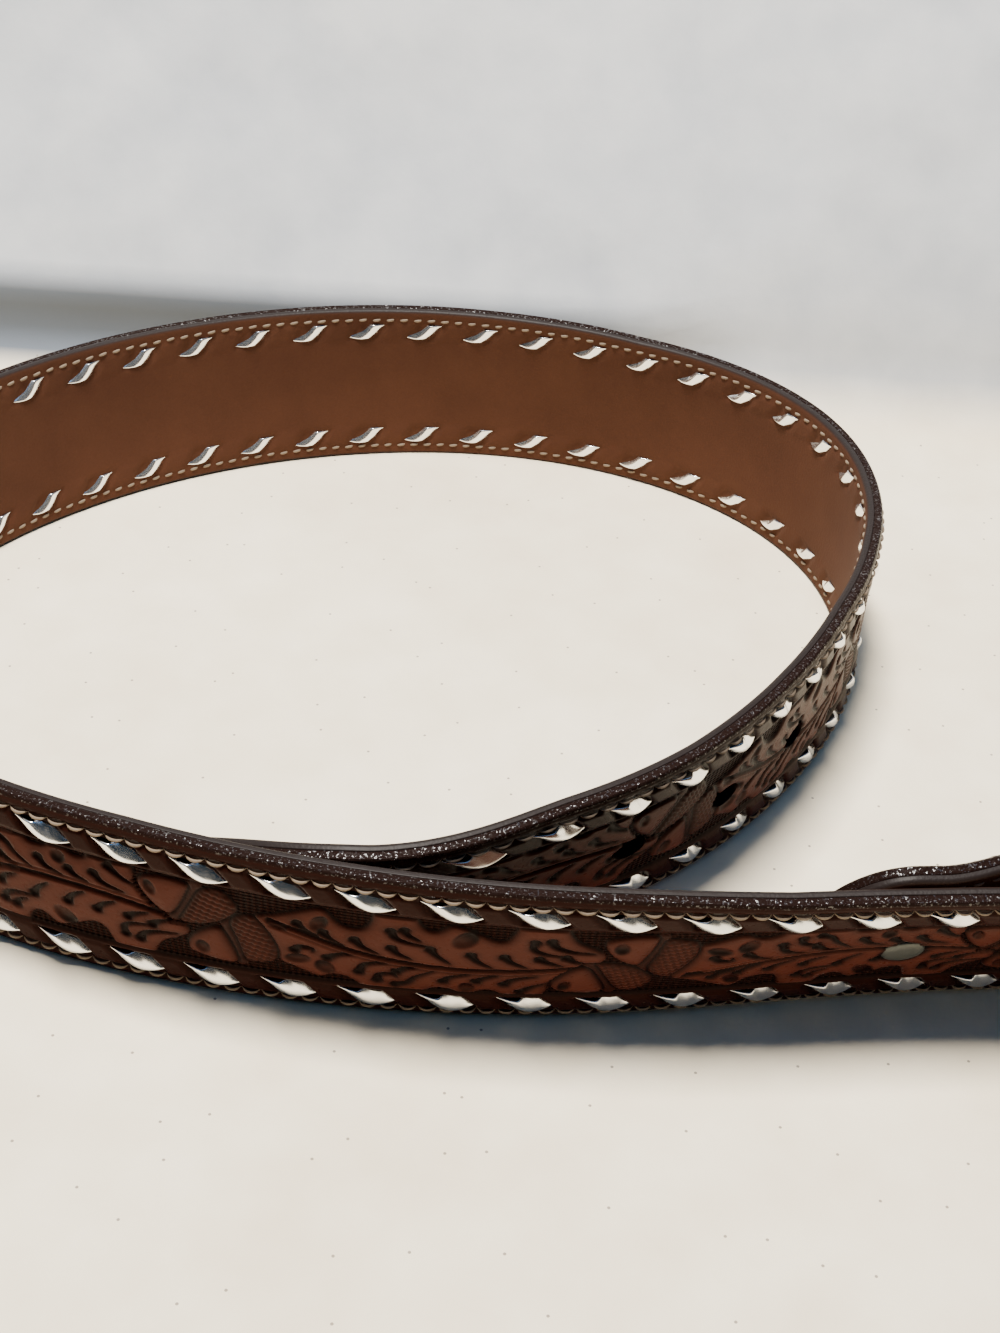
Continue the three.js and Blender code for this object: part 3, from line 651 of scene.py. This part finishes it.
def plyPiece(name, bare, glued, s0, s1, cell, ends, material):
    rowA, rowInset, rowV, onFace = plyProfile(bare, glued, cell)
    count = int(round((s1 - s0) / cell))
    s = np.linspace(s0, s1, count + 1)
    thin = np.ones(len(s))
    if "tip" in ends:
        s = np.concatenate([s, [s1 + 0.25, s1 + 0.4, s1 + 0.4]])
        thin = np.concatenate([thin, [0.9, 0.6, 0]])
    if "flap" in ends:
        s = np.concatenate([[s0 - 0.4, s0 - 0.4, s0 - 0.25], s])
        thin = np.concatenate([[0, 0.6, 0.9], thin])
    half = halfHeight(np.clip(s, flapStart, strap["length"]))[:, None]
    inset = np.minimum(rowInset, half)
    r = middle + rowV * (half - inset)
    ss = np.broadcast_to(s[:, None], r.shape)
    ss, r, keep = openHoles(ss, r)
    sign = 1 if bare > glued else -1
    toEdge = half - np.abs(r - middle)
    wide = shoulders[sign]["wide"]
    flat = onFace * smooth((toEdge - wide) / 0.3)
    band, dark = bandRelief(ss, r, sign)
    sunk, shade = holeRelief(ss, r)
    relief = (band + stitchRelief(ss, r) * (1 if sign > 0 else 0.5) + sunk) * flat
    if sign > 0:
        panel = panelShare(ss, r)
        drawn, drawnTone, matting = readPattern(ss, r)
        inPanel = smooth((panel - 0.1) / 0.3) * onFace
        line = np.exp(-((panel - 0.05) / 0.42) ** 2) * onFace
        relief = relief * (1 - inPanel) + (drawn + sunk) * inPanel - 0.55 * line * (1 - inPanel)
        # painted shade: the band darkens at the lace slits and under the laces
        bandTone = 0.01 + 0.25 * (1 - dark)
        tone = mix(bandTone, drawnTone, inPanel) * (1 - 0.85 * line)
        # darker along the stitch groove; shade is painted shade at the hole rims and a painted shadow ring round the
        # snap
        tone = np.clip(tone + np.minimum(stitchRelief(ss, r) * 0.3, 0) + shade, 0, 1)
        matting = matting * inPanel
    else:
        # painted shade at the lining's lace slits
        tone, matting = 1 - dark, np.zeros(r.shape)
    paint = 1 - smooth((toEdge - 0.15) / (0.5 if sign > 0 else 0.9))
    a = glued + (rowA + sign * relief - glued) * thin[:, None]
    points = strapPoint(ss, a, r)
    inner = strapPoint(ss, a - sign * 1.0, r)

    marks = {"tone": tone, "matting": matting, "paint": paint * np.ones(r.shape)}
    piece = gridMesh(name, points, material, np.stack([ss, r], -1), marks, keep)
    faceOut(piece, (points - inner)[:, len(rowA) // 2], points[:, len(rowA) // 2])
    return piece


def faceOut(piece, directions, spots):
    mesh = piece.data
    co = np.zeros(len(mesh.vertices) * 3)
    normals = np.zeros(len(mesh.vertices) * 3)
    mesh.vertices.foreach_get("co", co)
    mesh.vertices.foreach_get("normal", normals)
    spot = (spots[len(spots) // 2] + place) / 1000
    nearest = np.argmin(((co.reshape(-1, 3) - spot) ** 2).sum(1))
    if normals.reshape(-1, 3)[nearest] @ directions[len(spots) // 2] < 0:
        mesh.flip_normals()


stretches = [
    ("strap_flap", flapStart, 0.0, 0.42, ["flap"]), ("strap_front", 0.0, 226.0, 0.34, []),
    ("strap_left_and_rear", 226.0, 590.0, 0.52, []), ("strap_right", 590.0, strap["length"], 0.42, ["tip"]),
]
strapPieces = []
for name, s0, s1, cell, ends in stretches:
    strapPieces.append(plyPiece(name, face, strap["glueFront"], s0, s1, cell, ends, tooled))
    print(name, len(strapPieces[-1].data.polygons))
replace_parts(strapPieces[0], "outer_strap")
liningPiece = plyPiece("lining_face", -face, strap["glueBack"], flapStart, strap["length"], 1.0,
                       ["flap", "tip"], suede)
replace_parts(liningPiece, "lining")
print("plies built")


# The woven lace, one chain of ribbons per row and face
def laceRibbons(name, row, side):
    offset = 0 if side > 0 else 0.5
    share = lace["share"] if side > 0 else lace["backShare"]
    numbers = lacePlaces(row, offset, laceFrom if side > 0 else strap["flapLength"] + 6)
    along = np.linspace(-1.3, 1.3, 29)
    across = np.array([-1.0, -1.03, -1.0, -0.88, -0.6, -0.2, 0.2, 0.6, 0.88, 1.0, 1.03, 1.0])
    sunk = np.array([1.0, 0.5, 0.2, 0.05, 0, 0, 0, 0, 0.05, 0.2, 0.5, 1.0]) * lace["thickness"]
    blocks = []
    for n in numbers:
        tilt = random.uniform(-0.05, 0.05)
        width = lace["width"] / 2 * random.uniform(0.95, 1.04)
        arch = np.cos(along / 1.3 * math.pi / 2)[:, None] ** 0.5
        twist = lace["twist"] * smooth((0.15 - along[:, None]) / 0.7) * (across + 1) * width
        narrow = 1 - 0.12 * smooth((np.abs(along[:, None]) - 0.6) / 0.6)
        r = row["r"] + across * width * narrow + tilt * along[:, None]
        corner = lace["corner"] * (across * np.abs(along[:, None])) ** 3
        s = np.interp(n + along * share, row["number"], row["s"])[:, None]
        s = s + lace["slant"] * (r - row["r"]) + corner
        rise = (lace["rise"] if side > 0 else lace["backRise"]) * random.uniform(0.92, 1.08)
        curl = -0.3 * across ** 2 if side > 0 else -0.22 * np.abs(across + 0.1)
        z = arch * (rise + lace["dive"]) - lace["dive"] + curl - sunk - twist
        blocks.append(strapPoint(s, side * (face + z), r))
    points = np.concatenate(blocks)
    keep = np.ones((len(points) - 1, len(across) - 1), bool)
    keep[len(along) - 1::len(along)] = False
    piece = gridMesh(name, points, silver, keep=keep)
    spot = len(along) // 2
    outward = strapPoint(np.interp(numbers[0], row["number"], row["s"]), side * (face + 5), row["r"])
    faceOut(piece, [outward - points[spot, 5]], [points[spot, 5]])
    return piece


for name, row in laceRows.items():
    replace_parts(laceRibbons(name + "_ribbons", row, 1), name)
    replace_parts(laceRibbons(name + "_back_ribbons", row, -1), name + "_back")
print("laces built")


def threadRow(name, upper, side):
    places = stitchPlaces(upper)
    front = side > 0
    length = stitch["length"] if front else stitch["backLength"]
    along = np.linspace(-1, 1, 7)
    angle = np.linspace(0, 2 * math.pi, 9)
    blocks = []
    for s, r, heading in zip(*places):
        half = length / 2 * random.uniform(0.94, 1.04)
        taper = np.sqrt(np.clip(1.04 - along ** 2, 0.02, 1))
        lift = stitch["lift"] * (1 - along ** 2) - 0.3 * along ** 4 if front else 0.16 - 0.4 * along ** 4
        belly = stitch["belly"] * (along ** 2 - 0.5) if front else 0.16 * along
        thick = (stitch["radius"] if front else stitch["backRadius"]) * taper
        ds, dr = along * half, belly + random.uniform(-0.06, 0.06)
        ps = s + ds * math.cos(heading) - dr * math.sin(heading)
        pr = r + ds * math.sin(heading) + dr * math.cos(heading)
        offR = pr[:, None] + thick[:, None] * np.cos(angle)
        offA = lift[:, None] + thick[:, None] * 0.72 * np.sin(angle)
        blocks.append(strapPoint(ps[:, None], side * (face - 0.12 + offA), offR))
    points = np.concatenate(blocks)
    keep = np.ones((len(points) - 1, len(angle) - 1), bool)
    keep[len(along) - 1::len(along)] = False
    piece = gridMesh(name, points, thread, keep=keep)
    outward = strapPoint(places[0][0], side * (face + 5), places[1][0])
    faceOut(piece, [outward - points[3, 2]], [points[3, 2]])
    return piece


for side, where in ((1, "face"), (-1, "lining")):
    threadRow("thread_upper_" + where, True, side)
    threadRow("thread_lower_" + where, False, side)
print("thread built")


def holeWalls():
    angle = np.linspace(0, 2 * math.pi, 33)
    depth = [(face - 0.25, 1.02), (face - 0.5, 0.97), (0.0, 0.95), (-face + 0.4, 0.97), (-face + 0.1, 1.02)]
    blocks = []
    for at in holes["s"]:
        a = np.array([d for d, _ in depth])[None, :]
        k = np.array([q for _, q in depth])[None, :]
        blocks.append(strapPoint(at + holes["half"][0] * k * np.cos(angle)[:, None], a,
                                 holes["r"] + holes["half"][1] * k * np.sin(angle)[:, None]))
    points = np.concatenate(blocks)
    keep = np.ones((len(points) - 1, len(depth) - 1), bool)
    keep[len(angle) - 1::len(angle)] = False
    blank = np.zeros(points.shape[:2])
    piece = gridMesh("hole_walls", points, tooled, np.zeros(points.shape[:2] + (2,)),
                     {"tone": blank + 0.08, "matting": blank, "paint": blank}, keep)
    centre = strapPoint(holes["s"][0], 0, holes["r"])
    faceOut(piece, [centre - points[0, 2]], [points[0, 2]])
    return piece


holeWalls()


# The snap
def frameAt(s, r):
    at = strapPoint(s, 0, r)
    out = strapPoint(s, 1, r) - at
    up = strapPoint(s, 0, r + 0.5) - strapPoint(s, 0, r - 0.5)
    along = np.cross(out, up)
    basis = np.stack([along / np.linalg.norm(along), up / np.linalg.norm(up), out / np.linalg.norm(out)], 1)
    matrix = Matrix(basis.tolist()).to_4x4()
    matrix.translation = (at + place) / 1000
    return matrix


def turned(name, outline, matrix, material):
    bm = bmesh.new()
    verts = [bm.verts.new((radius / 1000, 0, z / 1000)) for radius, z in outline]
    edges = [bm.edges.new(pair) for pair in zip(verts, verts[1:])]
    bmesh.ops.spin(bm, geom=verts + edges, cent=(0, 0, 0), axis=(0, 0, 1), angle=2 * math.pi, steps=56)
    bmesh.ops.remove_doubles(bm, verts=bm.verts, dist=1e-6)
    bmesh.ops.recalc_face_normals(bm, faces=bm.faces)
    for f in bm.faces:
        f.smooth = True
    mesh = bpy.data.meshes.new(name)
    bm.to_mesh(mesh)
    bm.free()
    mesh.transform(matrix)
    mesh.materials.append(material)
    piece = bpy.data.objects.new(name, mesh)
    bpy.context.scene.collection.objects.link(piece)
    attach(piece, "root")
    return piece


def snapPiece():
    front = face - 0.3
    back = -3 * face - strap["flapGap"] + 0.1
    flange, cap = snapSpot["flange"], snapSpot["cap"]
    top, bottom = front + snapSpot["flangeRise"], back - snapSpot["capRise"]
    outline = [
        (0, top), (flange * 0.5, top - 0.04), (flange * 0.78, top - 0.12), (flange * 0.93, top - 0.3),
        (flange, top - 0.62), (flange * 0.99, front), (1.9, front - 0.2), (1.9, back + 0.2), (cap * 0.97, back),
        (cap, back - 0.5), (cap * 0.97, back - 0.95), (cap * 0.85, back - 1.45), (cap * 0.6, bottom + 0.3),
        (cap * 0.3, bottom + 0.06), (0, bottom),
    ]
    piece = turned("snap_turned", outline, frameAt(snapSpot["s"], snapSpot["r"]), gunmetal)
    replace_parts(piece, "snap")


snapPiece()

# The buckle, whose axes are: x away from the fold, y up and z out of the tooled face
buckle = {"bar": 3.0, "side": 0.8, "reach": 40.0, "corner": 5.0, "prong": 1.7, "overhang": 2.5}


def swept(name, path, radii, matrix, closed):
    path = np.array(path, float)
    ahead = np.roll(path, -1, 0) - np.roll(path, 1, 0) if closed else np.gradient(path, axis=0)
    ahead /= np.linalg.norm(ahead, axis=1)[:, None]
    side = np.cross(ahead, [0, 0, 1.0])
    side /= np.linalg.norm(side, axis=1)[:, None]
    up = np.cross(side, ahead)
    angle = np.linspace(0, 2 * math.pi, 17)
    radii = np.broadcast_to(np.array(radii, float), (len(path),))[:, None, None]
    around = np.cos(angle)[:, None] * side[:, None] + np.sin(angle)[:, None] * up[:, None]
    points = path[:, None] + radii * around
    if closed:
        points = np.concatenate([points, points[:1]])
    m = np.array(matrix)
    world = points @ m[:3, :3].T + m[:3, 3] * 1000 - place
    piece = gridMesh(name, world, nickel)
    centre = path[0] @ m[:3, :3].T + m[:3, 3] * 1000 - place
    faceOut(piece, [world[0, 0] - centre], [world[0, 0]])
    return piece


def bucklePieces():
    at = strapPoint(0, -foldRadius, middle)
    matrix = frameAt(0.0, middle)
    basis = np.array(matrix)[:3, :3]
    towards = strapPoint(-foldLength / 2, face, middle) - at
    away = towards / np.linalg.norm(towards)
    up, out = basis[:, 1], basis[:, 2]
    frameMatrix = Matrix(np.stack([away, up, np.cross(away, up)], 1).tolist()).to_4x4()
    frameMatrix.translation = (at + place) / 1000
    flip = 1 if np.cross(away, up) @ out > 0 else -1
    tall = middle + buckle["side"] + buckle["bar"] / 2
    far, corner = buckle["reach"], buckle["corner"] - buckle["bar"] / 2
    turns = [(far - corner, tall - corner, 90, 0), (far - corner, corner - tall, 0, -90),
             (corner, corner - tall, -90, -180), (corner, tall - corner, 180, 90)]
    path = []
    for x, y, first, last in turns:
        for t in np.radians(np.linspace(first, last, 9)):
            path.append((x + corner * math.cos(t), y + corner * math.sin(t), 0))
    ring = swept("buckle_frame", path, buckle["bar"] / 2, frameMatrix, True)
    half = buckle["bar"] / 2
    rest = half + buckle["prong"] * 0.75
    point = far + buckle["overhang"]
    prong = [(-1.6, 0, 0), (-0.8, 0, rest * 0.5), (2.2, 0, rest), (8, 0, rest + 0.3), (24, 0, rest + 0.2),
             (38, 0, rest), (point, 0, rest - 0.35), (point + 0.5, 0, rest - 0.4)]
    prong = [(x, y, z * flip) for x, y, z in prong]
    radii = [0.3, 1.5, 1.7, 1.7, 1.6, 1.5, 1.2, 0.2]
    tongue = swept("buckle_prong", prong, radii, frameMatrix, False)
    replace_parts(ring, "buckle")


bucklePieces()
print("metal built")

# The paper that the belt stands on: each colour pair is mottled, the backdrop's pair is the same paper in painted
# shade, and painted shade lies along the crease's foot
paper = {
    "floor": [(0.76, 0.65, 0.47, 1), (0.9, 0.795, 0.61, 1)], "shadedWall": [(0.42, 0.44, 0.47, 1), (0.58, 0.59, 0.60, 1)],
    "shade": (0.12, 0.14, 0.17, 1), "speck": (0.12, 0.09, 0.07, 1), "speckSize": 0.018,
    "left": -0.85, "width": 1.12, "creaseFade": 0.06,
}


def paperLook():
    material, tree, shader = newMaterial("paper", Roughness=0.8)
    where = addNode(tree, "ShaderNodeTexCoord").outputs["Object"]
    soft = noise(tree, 9.0, 2.0, 0.5)
    fine = noise(tree, 55.0, 5.0, 0.5)
    cells = addNode(tree, "ShaderNodeTexVoronoi", [("Vector", where), ("Scale", 60.0)], voronoi_dimensions="2D")
    speck = maths(tree, "LESS_THAN", cells.outputs["Distance"], paper["speckSize"])
    parts = addNode(tree, "ShaderNodeSeparateXYZ", [(0, where)])
    height = parts.outputs[2]
    mottled = maths(tree, "ADD", maths(tree, "MULTIPLY", soft, 1.6), maths(tree, "MULTIPLY", fine, 1.6))
    mottled = maths(tree, "SUBTRACT", mottled, 1.1, True)
    # painted shade: the paper turns to its darker, greyer backdrop pair as it rises
    risen = maths(tree, "DIVIDE", maths(tree, "SUBTRACT", height, 0.002), 0.012, True)
    near, far = [blendColors(tree, mottled, *paper[part]) for part in ("floor", "shadedWall")]
    color = blendColors(tree, risen, near, far)
    foot = maths(tree, "DIVIDE", maths(tree, "SUBTRACT", height, 0.0015), 0.004, True)
    head = maths(tree, "DIVIDE", maths(tree, "SUBTRACT", 0.032, height), 0.008, True)
    left = maths(tree, "DIVIDE", maths(tree, "SUBTRACT", 0.05, parts.outputs[0]), 0.06, True)
    shade = maths(tree, "MULTIPLY", maths(tree, "MULTIPLY", foot, head), left)
    color = blendColors(tree, shade, color, paper["shade"])
    speck = maths(tree, "MULTIPLY", speck, maths(tree, "SUBTRACT", 0.75, risen, True))
    color = blendColors(tree, speck, color, paper["speck"])
    tree.links.new(color, shader.inputs["Base Color"])
    folds = maths(tree, "ADD", soft, maths(tree, "MULTIPLY", fine, 0.06))
    bump = addNode(tree, "ShaderNodeBump", [("Height", folds), ("Distance", 0.012), ("Strength", 0.6)])
    tree.links.new(bump.outputs[0], shader.inputs["Normal"])
    return material


# y and z of the paper's profile from the front to the top of the backdrop, in metres: with the crease on the
# left, and with the soft rise on the right
creased = [
    (-0.5, 0), (0.10, 0), (0.128, 0.0005), (0.138, 0.002), (0.1445, 0.006), (0.146, 0.012), (0.1455, 0.019),
    (0.144, 0.0252), (0.1465, 0.0285), (0.154, 0.042), (0.165, 0.060), (0.180, 0.086), (0.204, 0.142), (0.234, 0.25),
]
rising = [
    (-0.5, 0), (0.10, 0), (0.128, 0.0005), (0.137, 0.003), (0.1425, 0.008), (0.1455, 0.014), (0.1475, 0.021),
    (0.1495, 0.028), (0.152, 0.035), (0.157, 0.047), (0.166, 0.066), (0.180, 0.092), (0.204, 0.142), (0.234, 0.25),
]


def paperStage():
    rows = len(creased) - 1
    bm = bmesh.new()
    bmesh.ops.create_grid(bm, x_segments=40, y_segments=rows, size=0.5)
    for v in bm.verts:
        x = paper["left"] + paper["width"] * (v.co.x + 0.5)
        row = round((v.co.y + 0.5) * rows)
        y, z = mix(np.array(creased[row]), np.array(rising[row]), smooth(x / paper["creaseFade"]))
        v.co = (x, y, z)
    for f in bm.faces:
        f.smooth = True
    mesh = bpy.data.meshes.new("paper_floor")
    bm.to_mesh(mesh)
    bm.free()
    mesh.materials.append(paperLook())
    floor = bpy.data.objects.new("paper_floor", mesh)
    bpy.context.scene.collection.objects.link(floor)


paperStage()

# Light and camera
lights = [
    {"name": "key", "at": (-0.15, -0.09, 1.27), "wide": 0.45, "deep": 0.12, "power": 60, "color": (1, 0.95, 0.87)},
    {"name": "sky", "at": (0, 0.01, 1.3), "wide": 2.2, "deep": 2.2, "power": 9.5, "color": (0.18, 0.48, 1)},
]
for row in lights:
    data = bpy.data.lights.new(row["name"], "AREA")
    data.shape = "RECTANGLE"
    data.size = row["wide"]
    data.size_y = row["deep"]
    data.energy = row["power"]
    data.color = row["color"]
    lamp = bpy.data.objects.new(row["name"], data)
    bpy.context.scene.collection.objects.link(lamp)
    turn = Vector(row["at"]).to_track_quat("Z", "Y").to_matrix().to_4x4()
    lamp.matrix_world = Matrix.Translation(row["at"]) @ turn
room = {"Color": (0.5, 0.75, 1.0, 1), "Strength": 0.035}
world = bpy.data.worlds.new("room_light")
world.use_nodes = True
for socket, value in room.items():
    world.node_tree.nodes["Background"].inputs[socket].default_value = value
bpy.context.scene.world = world

view = {"pitch": 36.98, "roll": 3.82, "height": 263.4, "fromFold": (138.6, 257.8), "focal": 1825.0}
lens = bpy.data.cameras.new("photo_view")
lens.sensor_width = 36
lens.lens = 36 * view["focal"] / 1333
camera = bpy.data.objects.new("photo_view", lens)
bpy.context.scene.collection.objects.link(camera)
spot = [(place[i] - view["fromFold"][i]) / 1000 for i in (0, 1)] + [view["height"] / 1000]
camera.matrix_world = (Matrix.Translation(spot) @ Matrix.Rotation(math.radians(90 - view["pitch"]), 4, "X")
                       @ Matrix.Rotation(math.radians(view["roll"]), 4, "Z"))
bpy.context.scene.camera = camera
